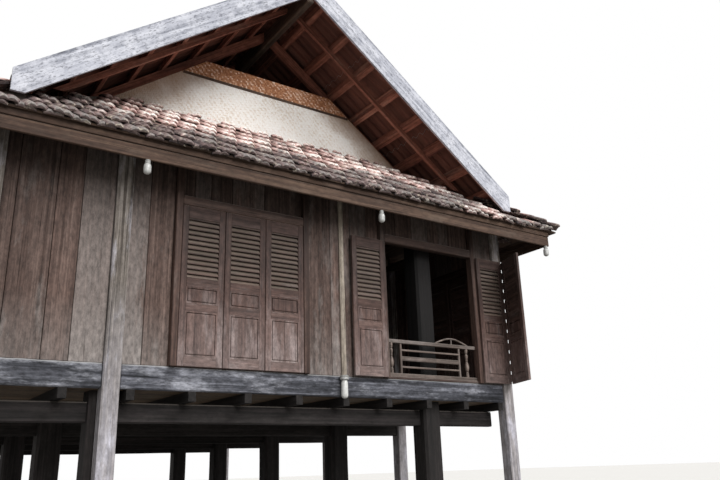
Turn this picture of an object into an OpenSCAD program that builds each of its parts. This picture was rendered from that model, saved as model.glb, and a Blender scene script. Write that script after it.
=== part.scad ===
// Timber stilt house: plank walls with louvred shutters over an open ground
// floor, a hip-and-gable roof with tiled skirts and a sheeted main roof.
// Millimetres, +Z up, front wall towards -Y, origin on the ground at the
// middle of the plan.

/* [Plan] */
// Width of the front wall over its side walls
wall_w = 6670; // [6400:10:7400]
// Distance between two rows of columns
bay_l = 2150; // [2000:10:2600]
// Number of bays from front to back
bays = 4; // [3:1:6]
// Distance from the face of an end wall to the first row of columns
end_in = 290; // [280:5:400]
// Distance between the two lines of core columns
core_span = 4140; // [3900:10:4300]

/* [Columns and posts] */
// Width of a core column
core_w = 280; // [200:5:300]
// Width of a wall post
post_w = 170; // [120:5:200]
// Depth of a wall post
post_d = 160; // [120:5:170]
// How far a wall post stands out from the wall face
post_out = 45; // [20:5:60]

/* [Floor] */
// Height of the underside of the rim beams above the ground
rim_z = 2330; // [2000:10:2800]
// Height of a rim beam
rim_h = 240; // [160:5:300]
// Thickness of a rim beam
rim_t = 90; // [60:5:110]
// How far a rim beam stands out from the wall face
rim_out = 20; // [10:5:40]
// Height of a floor joist
joist_h = 100; // [80:5:140]
// Width of a floor joist
joist_w = 80; // [60:5:100]
// Number of floor joists across the house
joists = 11; // [9:2:15]
// Height of a cross beam under the joists
cross_h = 200; // [150:5:260]
// Width of a cross beam under the joists
cross_w = 90; // [70:5:120]
// Thickness of the floor boards
floor_t = 30; // [20:1:40]

/* [Walls and windows] */
// Thickness of a wall
wall_t = 40; // [30:1:50]
// Width of a window opening
win_w = 1500; // [1300:10:1560]
// Height of a window opening above the rim beam
win_h = 1740; // [1500:10:1850]
// Middle of the closed front window
shut_x = -700; // [-740:10:-640]
// Middle of the open front window
open_x = 2010; // [1980:10:2040]
// Width of a window jamb
jamb_w = 70; // [50:5:90]
// Height of the board over a window
head_h = 110; // [80:5:160]
// Height of a window sill
sill_h = 30; // [20:5:50]
// Thickness of a shutter leaf
leaf_t = 35; // [30:1:40]
// Gap between neighbouring shutter leaves
leaf_gap = 4; // [2:1:8]
// Number of louvre slats in a leaf
slats = 12; // [8:1:16]
// Height of the balustrade in the open window
rail_h = 465; // [350:5:600]
// Rise of the curved rail over the balustrade
crest_h = 75; // [50:5:110]
// Diameter of a turned baluster at its widest
baluster_d = 50; // [36:2:60]
// Angle between the two right leaves, 0 when one is folded over the other
swing = 69; // [60:1:90]

/* [Tiled skirt roofs] */
// Height of the tile surface at the eaves
eave_z = 4800; // [4700:10:5000]
// Overhang of the front and back eaves from the wall face
front_eave = 600; // [500:10:700]
// Overhang of the side eaves from the wall face
side_eave = 715; // [600:10:800]
// Rise of the front and back skirts for each unit of run
front_pitch = 0.8; // [0.7:0.01:0.9]
// Rise of the side skirts for each unit of run
side_pitch = 0.48; // [0.4:0.01:0.55]
// Thickness of the tiles with their battens, measured plumb
tile_v = 110; // [80:5:130]
// Depth of a skirt rafter, measured plumb
spar_v = 90; // [70:5:120]
// Width of a skirt rafter
spar_w = 60; // [50:5:80]
// Depth of a fascia board
fascia_h = 205; // [180:5:260]
// Thickness of a fascia board
fascia_t = 30; // [20:1:40]

/* [Main roof] */
// Rise of the main roof for each unit of run
main_pitch = 0.745; // [0.68:0.005:0.8]
// Width of the main roof in plan
main_w = 6600; // [6400:10:6660]
// Overhang of the verges from the end wall faces
verge_out = 400; // [300:10:500]
// Depth of the waves of the roof sheets, measured plumb
sheet_v = 60; // [50:5:80]
// Width of one wave of the roof sheets
wave_w = 146; // [120:2:200]
// Thickness of a roof sheet
sheet_t = 8; // [5:1:12]
// Depth of a purlin, measured plumb
purlin_v = 100; // [80:5:120]
// Width of a purlin
purlin_w = 60; // [50:5:80]
// Number of purlins on each slope
purlins = 8; // [6:1:10]
// Depth of a main rafter, measured plumb
rafter_v = 150; // [100:5:160]
// Width of a main rafter
rafter_w = 60; // [50:5:80]
// Number of main rafter pairs
rafters = 9; // [5:2:13]
// Depth of a slim rafter under the verge, measured plumb
verge_rafter_v = 80; // [60:5:100]
// Width of a slim rafter under the verge
verge_rafter_w = 40; // [30:5:60]
// Depth of a barge board, measured plumb
barge_v = 330; // [320:5:400]
// Thickness of a barge board
barge_t = 30; // [20:1:40]

/* [Gable walls] */
// Distance of the gable mat behind the end wall face
gable_in = 700; // [600:10:800]
// Height of the gable mat above the skirt roof
mat_h = 810; // [600:10:900]
// Thickness of the woven mat
mat_t = 12; // [8:1:20]
// Height of the upper mat band
band_h = 250; // [150:10:350]

/* [Lamps] */
// Diameter of a lamp bulb under the eaves
bulb_d = 76; // [60:2:90]
// Length of a lamp bulb under the eaves
bulb_l = 115; // [80:5:140]
// Diameter of the lamp on the front rim beam
tube_d = 80; // [60:2:90]
// Length of the lamp on the front rim beam
tube_l = 215; // [150:5:260]

/* [Hidden] */
$fn = 24;

// Small clearances: face to face with play, sheets on tiles, joints of boards
seat_gap = 0.3;
sheet_lap = 2;
joint_gap = 2;

// Half sizes of the plan, to the outer faces of the walls
hw = wall_w / 2;
hl = bays * bay_l / 2 + end_in;
row_y = [for (i = [0:bays]) (i - bays / 2) * bay_l];
core_x = core_span / 2;

// Planes of the timber frame
post_face = hl + post_out;
post_back = post_face - post_d;
side_post_face = hw + post_out;
side_post_back = side_post_face - post_w;
corner_back = post_face - post_w;
wall_z = rim_z + rim_h;
joist_z = rim_z - joist_h;
cross_z = joist_z - cross_h;

// Heights of the roof surfaces over a point of the plan
eave_x = hw + side_eave;
eave_y = hl + front_eave;
main_x = main_w / 2;
verge_y = hl + verge_out;
gable_y = hl - gable_in;
function side_top(x) = eave_z + side_pitch * (eave_x - x);
function side_under(x) = side_top(x) - tile_v;
function front_top(y) = eave_z + front_pitch * (eave_y - y);
function front_under(y) = front_top(y) - tile_v;
ridge_z = side_top(main_x) + sheet_lap + sheet_v + main_pitch * main_x;
function main_top(x) = ridge_z - main_pitch * x;
function main_under(x) = main_top(x) - barge_v;
function rafter_top(x) = main_top(x) - sheet_v - purlin_v;
function rafter_under(x) = rafter_top(x) - rafter_v;

// Inner edge of the side skirts, under the lap of the main roof
roof_lap = 180;
skirt_in = main_x - roof_lap;

// Plates that carry the rafters
plate_w = 120;
plate_h = 140;
side_plate_z = side_under(side_post_face) - spar_v;
side_plate_in = side_post_face - plate_w;
end_plate_z = front_under(hl + rim_out) - spar_v;
end_plate_w = 100;
end_plate_h = 115;
wall_top = end_plate_z - end_plate_h;
side_wall_top = side_plate_z - plate_h;
core_plate_w = 160;
core_plate_h = 180;
core_top = side_wall_top;
tie_z = core_top + core_plate_h;
tie_h = 160;
tie_w = 100;
tie_in = 450;
tie_x = main_x - tie_in;
king_w = 120;
ridge_w = 100;
ridge_h = 220;
ridge_beam_top = rafter_top(ridge_w / 2);

// Fascia boards hang just inside the tile edge
fascia_in = 110;
fascia_front = eave_y - fascia_in;
fascia_side = eave_x - fascia_in;
fascia_z = min(front_under(fascia_front), side_under(fascia_side)) - fascia_h;

// Gable walls
mat_z = front_under(gable_y);
mat_top = front_top(gable_y) + mat_h;
rail_d = 60;
frame_d = 130;
gable_rafter_y = gable_y - frame_d - rafter_w / 2;

// Windows: three leaves each, on the outside of the frame
frame_proud = 5;
leaf_foot = 5;
win_z = wall_z + sill_h;
head_z = wall_z + win_h;
frame_out = rim_out + leaf_t + frame_proud;
leaf_z = wall_z + leaf_foot;
leaf_h = head_z - leaf_z;
leaf_w = (win_w - 4 * leaf_gap) / 3;
side_wins = [for (i = [0:bays - 1]) (i - (bays - 1) / 2) * bay_l];
end_wins = [shut_x, open_x];

module mirror_x() {
    children();
    mirror([1, 0, 0]) children();
}

module mirror_y() {
    children();
    mirror([0, 1, 0]) children();
}

// Box from its lowest corner to its highest corner
module span(a, b) {
    translate(a) cube(b - a);
}

// Outline in X and Z, carried along Y
module along_y(y0, y1, points) {
    translate([0, y1, 0]) rotate([90, 0, 0]) linear_extrude(y1 - y0) polygon(points);
}

// Outline in Y and Z, carried along X
module along_x(x0, x1, points) {
    translate([x0, 0, 0]) rotate([90, 0, 90]) linear_extrude(x1 - x0) polygon(points);
}

// Turns a piece drawn for the front wall to the left or right wall, at the
// place x along that wall
module on_side(side) {
    mirror([side < 0 ? 1 : 0, 0, 0]) translate([hw - hl, 0, 0]) turned_front() children();
}

// The front wall face at y = -hl becomes a face at x = +hl
module turned_front() {
    rotate([0, 0, 90]) children();
}

module core_column(x, y) {
    difference() {
        span([x - core_w / 2, y - core_w / 2, 0], [x + core_w / 2, y + core_w / 2, core_top]);
        span([x - core_w, y - cross_w / 2, cross_z], [x + core_w, y + cross_w / 2, joist_z]);
    }
}

module core_columns() {
    color("#6b5a48")
        for (y = row_y) mirror_x() core_column(core_x, y);
}

// Slim posts at the corners and beside the closed front window run from the
// ground to the plates; the rim beams butt against them.
module wall_posts() {
    color("#a39a8c") {
        mirror_x() mirror_y()
            span([side_post_back, -post_face, 0], [side_post_face, -corner_back, side_wall_top]);
        mirror_y()
            span([-core_x - post_w / 2, -post_face, 0], [-core_x + post_w / 2, -post_back, wall_top]);
        for (i = [1:bays - 1]) mirror_x() difference() {
            span([side_post_back, row_y[i] - post_w / 2, 0],
                 [side_post_face, row_y[i] + post_w / 2, side_wall_top]);
            span([0, row_y[i] - cross_w / 2, cross_z],
                 [side_post_back + post_w / 2, row_y[i] + cross_w / 2, joist_z]);
        }
    }
}

// Cross beams pass through mortises in the core columns
module cross_beams() {
    color("#5d4c3c")
        for (y = row_y) {
            reach = abs(y) == row_y[bays] ? side_post_back : side_post_back + post_w / 2;
            span([-reach, y - cross_w / 2, cross_z], [reach, y + cross_w / 2, joist_z]);
        }
}

joist_reach = side_post_back - joist_w;
joist_end = hl + rim_out;
core_side = core_x + core_w / 2;
joist_x = [for (i = [0:joists - 1]) (2 * i / (joists - 1) - 1) * joist_reach];

// Joists lie on the cross beams and end under the rim beams
module floor_joists() {
    color("#7a6a55")
        difference() {
            for (x = joist_x)
                span([x - joist_w / 2, -joist_end, joist_z], [x + joist_w / 2, joist_end, rim_z]);
            for (y = row_y) mirror_x()
                span([core_x - core_w / 2, y - core_w / 2, 0],
                     [core_x + core_w / 2, y + core_w / 2, core_top]);
            mirror_y()
                span([-core_x - post_w / 2, -post_face, 0], [-core_x + post_w / 2, -post_back, wall_top]);
        }
}

rim_in = rim_t - rim_out;

module floor_boards() {
    color("#7d6a50")
        difference() {
            span([-hw + rim_in, -hl + rim_in, rim_z], [hw - rim_in, hl - rim_in, rim_z + floor_t]);
            for (y = row_y) mirror_x()
                span([core_x - core_w / 2, y - core_w / 2, 0],
                     [core_x + core_w / 2, y + core_w / 2, core_top]);
            mirror_y()
                span([-core_x - post_w / 2, -post_face, 0], [-core_x + post_w / 2, -post_back, wall_top]);
            mirror_x() mirror_y()
                span([side_post_back, -post_face, 0], [side_post_face, -corner_back, wall_top]);
            for (i = [1:bays - 1]) mirror_x()
                span([side_post_back, row_y[i] - post_w / 2, 0],
                     [side_post_face, row_y[i] + post_w / 2, wall_top]);
        }
}

// Two lengths of beam that butt against the slim front post
module end_rim_beam() {
    y0 = -hl - rim_out;
    y1 = -hl + rim_in;
    span([-side_post_back, y0, rim_z], [-core_x - post_w / 2, y1, wall_z]);
    span([-core_x + post_w / 2, y0, rim_z], [side_post_back, y1, wall_z]);
}

module front_rim_beam() {
    color("#8c8a84") end_rim_beam();
}

module back_rim_beam() {
    color("#8c8a84") mirror([0, 1, 0]) end_rim_beam();
}

// Free lengths between the posts of a side wall, as [from, to]
side_runs = [for (i = [0:bays - 1]) [i == 0 ? -corner_back : row_y[i] + post_w / 2,
                                     i == bays - 1 ? corner_back : row_y[i + 1] - post_w / 2]];

module side_rim_beams() {
    color("#86837c")
        mirror_x() for (r = side_runs)
            span([hw - rim_in, r[0], rim_z], [hw + rim_out, r[1], wall_z]);
}

// Full-height boards of an end wall, between the posts and the windows
module end_wall_piers() {
    edges = [-side_post_back, -core_x - post_w / 2, -core_x + post_w / 2,
             shut_x - win_w / 2 - jamb_w, shut_x + win_w / 2 + jamb_w,
             open_x - win_w / 2 - jamb_w, open_x + win_w / 2 + jamb_w, side_post_back];
    for (i = [0:2:6])
        span([edges[i], -hl, wall_z], [edges[i + 1], -hl + wall_t, wall_top]);
}

module end_wall_tops() {
    for (x = end_wins)
        span([x - win_w / 2, -hl, head_z + head_h], [x + win_w / 2, -hl + wall_t, wall_top]);
}

module front_wall_boards() {
    color("#7a5c45") end_wall_piers();
}

module front_wall_over_windows() {
    color("#765842") end_wall_tops();
}

module back_wall_boards() {
    color("#7a5c45") mirror([0, 1, 0]) end_wall_piers();
}

module back_wall_over_windows() {
    color("#765842") mirror([0, 1, 0]) end_wall_tops();
}

// Full-height boards of the right wall, beside the window of each bay
module side_wall_piers() {
    for (i = [0:bays - 1]) {
        span([hw - wall_t, side_runs[i][0], wall_z],
             [hw, side_wins[i] - win_w / 2 - jamb_w, side_wall_top]);
        span([hw - wall_t, side_wins[i] + win_w / 2 + jamb_w, wall_z],
             [hw, side_runs[i][1], side_wall_top]);
    }
}

module left_wall_boards() {
    color("#74573f") mirror([1, 0, 0]) side_wall_piers();
}

module right_wall_boards() {
    color("#74573f") side_wall_piers();
}

module side_walls_over_windows() {
    color("#765842")
        mirror_x() for (y = side_wins)
            span([hw - wall_t, y - win_w / 2, head_z + head_h],
                 [hw, y + win_w / 2, side_wall_top]);
}

// Pieces of a window whose middle is at x = 0 on the front wall. The jambs
// run past the head to the top of the wall.
module jambs(top) {
    for (side = [-1, 1])
        translate([side * (win_w + jamb_w) / 2, 0, 0])
            span([-jamb_w / 2, -hl - frame_out, wall_z], [jamb_w / 2, -hl + wall_t, top]);
}

module head() {
    span([-win_w / 2, -hl - frame_out, head_z], [win_w / 2, -hl + wall_t, head_z + head_h]);
}

module sill() {
    span([-win_w / 2, -hl - rim_out, wall_z], [win_w / 2, -hl + wall_t, wall_z + sill_h]);
}

// Put a window piece at every window of the end walls and of the side walls
module at_end_windows() {
    for (x = end_wins) mirror_y() translate([x, 0, 0]) children();
}

module at_side_windows() {
    for (y = side_wins, side = [-1, 1])
        on_side(side) translate([y, 0, 0]) children();
}

module window_jambs() {
    color("#5f4636") {
        at_end_windows() jambs(wall_top);
        at_side_windows() jambs(side_wall_top);
    }
}

module window_heads() {
    color("#664c3a") {
        at_end_windows() head();
        at_side_windows() head();
    }
}

module window_sills() {
    color("#664c3a") {
        at_end_windows() sill();
        at_side_windows() sill();
    }
}

// Louvred leaf: x from 0, back face at y = 0, front face at y = -leaf_t.
// Two stiles carry the slats above, a small raised panel and a large one.
stile = 70;
panel_t = 18;
louvre_span = [0.54, 0.92];
small_span = [0.38, 0.48];
large_span = [0.06, 0.33];
raised_in = 25;

// Slats lean so far that each one all but hides the gap to the next
slat_t = 14;
slat_gap = 3;
slat_inset = 4;
slat_tongue = 1;
slat_step = (louvre_span[1] - louvre_span[0]) * leaf_h / slats;
slat_lean = slat_step - slat_t - slat_gap;

module leaf_panel(part) {
    z0 = part[0] * leaf_h;
    z1 = part[1] * leaf_h;
    y_mid = -(leaf_t - panel_t) / 2;
    span([stile, y_mid - panel_t, z0], [leaf_w - stile, y_mid, z1]);
    span([stile + raised_in, -leaf_t, z0 + raised_in],
         [leaf_w - stile - raised_in, 0, z1 - raised_in]);
}

module louvres() {
    for (i = [0:slats - 1]) {
        z = louvre_span[0] * leaf_h + i * slat_step + slat_gap / 2;
        along_x(stile - slat_tongue, leaf_w - stile + slat_tongue,
                [[-leaf_t + slat_inset, z], [-slat_inset, z + slat_lean],
                 [-slat_inset, z + slat_lean + slat_t], [-leaf_t + slat_inset, z + slat_t]]);
    }
}

module leaf() {
    difference() {
        span([0, -leaf_t, 0], [leaf_w, 0, leaf_h]);
        for (part = [louvre_span, small_span, large_span])
            span([stile, -leaf_t - 1, part[0] * leaf_h], [leaf_w - stile, 1, part[1] * leaf_h]);
    }
    leaf_panel(small_span);
    leaf_panel(large_span);
    louvres();
}

// Three closed leaves over the window whose middle is at x = 0
module closed_leaves() {
    for (i = [0:2])
        translate([-win_w / 2 + leaf_gap + i * (leaf_w + leaf_gap), -hl - rim_out, leaf_z]) leaf();
}

module front_closed_shutters() {
    color("#70503c") translate([shut_x, 0, 0]) closed_leaves();
}

// How far the open leaves lap over their jambs
left_lap = 20;
right_lap = 5;
open_face = -hl - frame_out;
open_left = open_x - win_w / 2 - jamb_w + left_lap - leaf_w;
open_right = open_x + win_w / 2 + jamb_w - right_lap;

// One leaf folds flat to the left. On the right one lies flat on the wall,
// and the next is hinged to its outer edge and stands off the wall.
module front_open_shutters() {
    color("#70503c") {
        translate([open_left, open_face, leaf_z]) leaf();
        translate([open_right, open_face, leaf_z]) leaf();
        translate([open_right + leaf_w + seat_gap, open_face - leaf_t - seat_gap, leaf_z])
            rotate([0, 0, swing]) translate([-leaf_w, 0, 0]) leaf();
    }
}

module back_shutters() {
    color("#70503c")
        for (x = end_wins) mirror([0, 1, 0]) translate([x, 0, 0]) closed_leaves();
}

module side_shutters() {
    color("#70503c")
        for (y = side_wins, side = [-1, 1])
            on_side(side) translate([y, 0, 0]) closed_leaves();
}

// Turned baluster: its radius along its height
module baluster(h) {
    r = baluster_d / 2;
    rotate_extrude()
        polygon([[0, 0], [r * 0.8, 0], [r * 0.8, h * 0.12], [r * 0.45, h * 0.18], [r, h * 0.34],
                 [r * 0.4, h * 0.55], [r * 0.75, h * 0.68], [r * 0.45, h * 0.8],
                 [r * 0.8, h * 0.88], [r * 0.8, h], [0, h]]);
}

rail_t = 45;
bar_t = 22;
mid_bar_h = 56;
upright_w = 26;
crest_t = 22;
spindle_d = 20;

// Distances from the left and the right jamb
turned_in = [80, 155];
upright_in = [230, 290];
crest_in = [810, 130];

// Curved rail: its underside is an arch from x0 to x1 over the height z
module crest_rail(x0, x1, z) {
    steps = 14;
    arch = [for (i = [0:steps]) [x0 + (x1 - x0) * i / steps, z + crest_h * sin(180 * i / steps)]];
    along_y(-upright_w / 2, upright_w / 2,
            concat(arch, [for (i = [steps:-1:0]) arch[i] + [0, crest_t]]));
}

// Rails between the jambs, a turned baluster and an upright near each end,
// three bars between the uprights and a curved rail over the right half
module window_balustrade() {
    x0 = open_x - win_w / 2;
    x1 = open_x + win_w / 2;
    clear_h = rail_h - 2 * rail_t;
    color("#8a6f58") translate([0, -hl + wall_t / 2, win_z]) {
        for (z = [0, rail_h - rail_t])
            span([x0, -rail_t / 2, z], [x1, rail_t / 2, z + rail_t]);
        for (x = [x0 + turned_in[0], x1 - turned_in[1]])
            translate([x, 0, rail_t]) baluster(clear_h);
        for (x = [x0 + upright_in[0], x1 - upright_in[1]])
            span([x - upright_w / 2, -upright_w / 2, rail_t],
                 [x + upright_w / 2, upright_w / 2, rail_t + clear_h]);
        for (i = [1:3]) {
            h = i == 2 ? mid_bar_h : bar_t;
            z = rail_t / 2 + i * (rail_h - rail_t) / 4;
            span([x0 + upright_in[0], -bar_t / 2, z - h / 2],
                 [x1 - upright_in[1], bar_t / 2, z + h / 2]);
        }
        crest_rail(x0 + crest_in[0], x1 - crest_in[1], rail_h - crest_t / 2);
        translate([(x0 + crest_in[0] + x1 - crest_in[1]) / 2, 0, rail_h - crest_t / 2])
            cylinder(h = crest_h + crest_t / 2, d = spindle_d);
    }
}

batten_t = 25;
batten_w = 65;
batten_clear = 75;

// Upright battens on the front and back walls, beside the leaf that is
// folded flat to the left
module wall_battens() {
    x1 = open_left - batten_clear;
    color("#b7a283") mirror_y()
        span([x1 - batten_w, -hl - batten_t, wall_z], [x1, -hl, wall_top]);
}

module side_wall_plates() {
    color("#6a5844") mirror_x()
        span([side_plate_in, -post_face, side_wall_top], [side_post_face, post_face, side_plate_z]);
}

module end_wall_plates() {
    color("#6a5844") mirror_y()
        span([-side_post_back, -hl - rim_out, wall_top],
             [side_post_back, -hl - rim_out + end_plate_w, end_plate_z]);
}

module core_plates() {
    color("#66543f") mirror_x()
        span([core_x - core_plate_w / 2, row_y[0] - core_w / 2, core_top],
             [core_x + core_plate_w / 2, row_y[bays] + core_w / 2, tie_z]);
}

tie_y = concat([-gable_y + tie_w / 2], [for (i = [1:bays - 1]) row_y[i]], [gable_y - tie_w / 2]);

module tie_beams() {
    color("#5f4e3b")
        for (y = tie_y)
            span([-tie_x, y - tie_w / 2, tie_z], [tie_x, y + tie_w / 2, tie_z + tie_h]);
}

module king_posts() {
    color("#5f4e3b")
        for (i = [1:bays - 1])
            span([-king_w / 2, row_y[i] - king_w / 2, tie_z + tie_h],
                 [king_w / 2, row_y[i] + king_w / 2, ridge_beam_top - ridge_h]);
}

module ridge_beam() {
    color("#6e4d3a")
        span([-ridge_w / 2, -verge_y + barge_t, ridge_beam_top - ridge_h],
             [ridge_w / 2, verge_y - barge_t, ridge_beam_top]);
}

// Rafter outline: notched under the side skirt, level where it sits on the
// side plate
rafter_end_in = 40;
rafter_end = side_post_face - rafter_end_in;
rafter_seat = (rafter_under(0) - side_plate_z) / main_pitch;
rafter_y = [for (i = [0:rafters - 1]) (2 * i / (rafters - 1) - 1) * gable_rafter_y];

// Distances of the slim rafters from the verge
verge_rafter_in = [90, 570];

// Everything up to the tile surface of the front skirt, with its play
module under_front_tiles() {
    along_x(-eave_x, eave_x,
            [[-eave_y, front_top(eave_y) + sheet_lap], [-eave_y, 0], [-gable_y, 0],
             [-gable_y, front_top(gable_y) + sheet_lap]]);
}

// Slim rafter under the purlins of the verge, cut off over the tiles
module verge_rafter(y) {
    difference() {
        along_y(y - verge_rafter_w / 2, y + verge_rafter_w / 2,
                [[ridge_w / 2, rafter_top(ridge_w / 2)], [skirt_in, rafter_top(skirt_in)],
                 [skirt_in, rafter_top(skirt_in) - verge_rafter_v],
                 [ridge_w / 2, rafter_top(ridge_w / 2) - verge_rafter_v]]);
        under_front_tiles();
    }
}

module main_rafters() {
    color("#6e4d3a") {
        for (y = rafter_y) mirror_x()
            along_y(y - rafter_w / 2, y + rafter_w / 2,
                    [[ridge_w / 2, rafter_top(ridge_w / 2)], [skirt_in, rafter_top(skirt_in)],
                     [skirt_in, side_under(skirt_in)], [rafter_end, side_under(rafter_end)],
                     [rafter_end, side_plate_z], [rafter_seat, side_plate_z],
                     [ridge_w / 2, rafter_under(ridge_w / 2)]]);
        for (d = verge_rafter_in) mirror_x() mirror_y() verge_rafter(-verge_y + d);
    }
}

purlin_first = 260;
purlin_last = skirt_in - purlin_w;
purlin_x = [for (i = [0:purlins - 1])
            purlin_first + i * (purlin_last - purlin_first) / (purlins - 1)];
function purlin_top(x) = main_top(x) - sheet_v;

module main_purlins() {
    color("#7a5543")
        for (x = purlin_x) mirror_x()
            along_y(-verge_y + barge_t, verge_y - barge_t,
                    [[x - purlin_w / 2, purlin_top(x - purlin_w / 2)],
                     [x + purlin_w / 2, purlin_top(x + purlin_w / 2)],
                     [x + purlin_w / 2, purlin_top(x + purlin_w / 2) - purlin_v],
                     [x - purlin_w / 2, purlin_top(x - purlin_w / 2) - purlin_v]]);
}

// Corrugated sheets: rounded waves along the house, carried down the slope
// and cut square to it
module main_slope() {
    slope = atan(main_pitch);
    depth = sheet_v * cos(slope) - 2 * seat_gap;
    y1 = verge_y - barge_t;
    waves = floor(2 * y1 / wave_w);
    steps = 6;
    under = concat([[-y1, 0]],
                   [for (i = [0:waves * steps])
                    [(i / steps - waves / 2) * wave_w,
                     (depth - sheet_t) * (1 - cos(360 * i / steps)) / 2]],
                   [[y1, 0]]);
    upper = [for (i = [len(under) - 1:-1:0]) under[i] + [0, sheet_t]];
    translate([0, 0, main_top(0) - sheet_v]) rotate([0, slope, 0]) translate([0, 0, seat_gap])
        along_x(joint_gap, main_x / cos(slope) - (depth + seat_gap) * tan(slope),
                concat(under, upper));
}

module left_main_roof() {
    color("#a9a7a2") mirror([1, 0, 0]) main_slope();
}

module right_main_roof() {
    color("#a9a7a2") main_slope();
}

cap_x = 260;
cap_v = 30;

module ridge_cap() {
    color("#9b9994")
        along_y(-verge_y, verge_y,
                [[0, main_top(0)], [cap_x, main_top(cap_x)], [cap_x, main_top(cap_x) + cap_v],
                 [0, main_top(0) + cap_v], [-cap_x, main_top(cap_x) + cap_v],
                 [-cap_x, main_top(cap_x)]]);
}

// Barge boards: their feet are cut level, just over the tiles
barge_foot = front_top(verge_y - barge_t) + sheet_lap;
barge_foot_x = (main_under(0) - barge_foot) / main_pitch;

module barge_boards() {
    color("#9a9892") mirror_x() mirror_y()
        along_y(-verge_y, -verge_y + barge_t,
                [[joint_gap / 2, main_top(0)], [main_x, main_top(main_x)], [main_x, barge_foot],
                 [barge_foot_x, barge_foot], [joint_gap / 2, main_under(0)]]);
}

// Everything above the underside of the main roof
module main_roof_space() {
    along_y(-verge_y, verge_y,
            [[0, main_under(0)], [main_x, main_under(main_x)], [main_x, main_top(0)],
             [-main_x, main_top(0)], [-main_x, main_under(main_x)]]);
}

// Plan of a corner: the hips run where the front and side skirts are level
hip_run = (eave_x - skirt_in) * side_pitch / front_pitch;

module front_slab() {
    difference() {
        intersection() {
            along_x(-eave_x, eave_x,
                    [[-eave_y, front_top(eave_y)], [-eave_y, front_under(eave_y)],
                     [-gable_y, front_under(gable_y)], [-gable_y, front_top(gable_y)]]);
            linear_extrude(ridge_z)
                polygon([[-eave_x, -eave_y], [eave_x, -eave_y],
                         [skirt_in, -eave_y + hip_run], [skirt_in, -gable_y],
                         [-skirt_in, -gable_y], [-skirt_in, -eave_y + hip_run]]);
        }
        main_roof_space();
    }
}

module side_slab() {
    intersection() {
        along_y(-eave_y, eave_y,
                [[eave_x, side_top(eave_x)], [eave_x, side_under(eave_x)],
                 [skirt_in, side_under(skirt_in)], [skirt_in, side_top(skirt_in)]]);
        linear_extrude(ridge_z)
            polygon([[eave_x, -eave_y], [eave_x, eave_y],
                     [skirt_in, eave_y - hip_run], [skirt_in, -eave_y + hip_run]]);
    }
}

module front_skirt_roof() {
    color("#8a5a48") front_slab();
}

module back_skirt_roof() {
    color("#8a5a48") mirror([0, 1, 0]) front_slab();
}

module left_skirt_roof() {
    color("#8a5a48") mirror([1, 0, 0]) side_slab();
}

module right_skirt_roof() {
    color("#8a5a48") side_slab();
}

// The side skirt rafters stand between the main rafters, the front ones
// under the whole slope
spar_step = 640;
front_spars = floor((skirt_in - spar_w) / spar_step);
rafter_step = 2 * gable_rafter_y / (rafters - 1);
side_spar_step = rafter_step / 2;
side_spars = floor((hl - end_in) / side_spar_step);
spar_end_in = 20;
spar_seat = 60;
spar_in = side_plate_in + spar_end_in;

// Rafters under the skirts: level where they sit on the plates
module skirt_rafters() {
    y_plate = hl + rim_out;
    y_back = fascia_front - fascia_t;
    x_back = fascia_side - fascia_t;
    color("#6b4f3c") {
        mirror_y() difference() {
            for (i = [-front_spars:front_spars])
                along_x(i * spar_step - spar_w / 2, i * spar_step + spar_w / 2,
                        [[-y_back, front_under(y_back)], [-gable_y, front_under(gable_y)],
                         [-gable_y, front_under(gable_y) - spar_v],
                         [-y_plate + spar_seat, front_under(y_plate - spar_seat) - spar_v],
                         [-y_plate + spar_seat, end_plate_z], [-y_plate, end_plate_z],
                         [-y_back, front_under(y_back) - spar_v]]);
            main_roof_space();
        }
        mirror_x() mirror_y() for (i = [0:side_spars - 1])
            along_y((i + 0.5) * side_spar_step - spar_w / 2, (i + 0.5) * side_spar_step + spar_w / 2,
                    [[x_back, side_under(x_back)], [spar_in, side_under(spar_in)],
                     [spar_in, side_plate_z], [side_post_face, side_plate_z],
                     [x_back, side_under(x_back) - spar_v]]);
    }
}

fascia_step = 20;

// Fascia boards round the eaves, with a lath along the upper half at the ends
module fascia_boards() {
    x1 = fascia_side;
    y1 = fascia_front;
    top_front = front_under(y1);
    top_side = side_under(x1);
    color("#6f5140") {
        mirror_y() {
            span([-x1, -y1, fascia_z], [x1, -y1 + fascia_t, top_front]);
            span([-x1, -y1 - fascia_step, fascia_z + fascia_h / 2],
                 [x1, -y1, front_under(y1 + fascia_step)]);
        }
        mirror_x()
            span([x1 - fascia_t, -y1 + fascia_t + joint_gap, fascia_z],
                 [x1, y1 - fascia_t - joint_gap, top_side]);
    }
}

stud_w = 80;
stud_x = [600, 1500];
rail_h_gable = 70;
sill_v = 150;
lath_h = 35;
lath_t = 15;

// Rails behind the mats: a sill that takes the front rafters, one behind the
// joint of the two mats and one along their top edge, and a lath over the joint
module gable_rails() {
    y0 = -gable_y + mat_t;
    y1 = -gable_y + rail_d;
    sill_x = (rafter_under(0) - mat_z) / main_pitch - stud_w;
    lath_z = mat_top - band_h - lath_h / 2;
    lath_x = (main_under(0) - lath_z - lath_h) / main_pitch;
    color("#6a4c39") mirror_y() {
        span([-sill_x, -gable_y, mat_z - sill_v], [sill_x, y1, mat_z]);
        for (z = [mat_top - band_h - rail_h_gable / 2, mat_top - rail_h_gable]) {
            x = (main_under(0) - z - rail_h_gable) / main_pitch;
            span([-x, y0, z], [x, y1, z + rail_h_gable]);
        }
        span([-lath_x, -gable_y - lath_t, lath_z], [lath_x, -gable_y, lath_z + lath_h]);
    }
}

// Studs on the tie beam behind the rails
module gable_studs() {
    color("#6a4c39") mirror_y() mirror_x()
        for (x = stud_x)
            span([x - stud_w / 2, -gable_y + rail_d, tie_z + tie_h],
                 [x + stud_w / 2, -gable_y + frame_d, min(mat_top, main_under(x + stud_w / 2))]);
}

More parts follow.
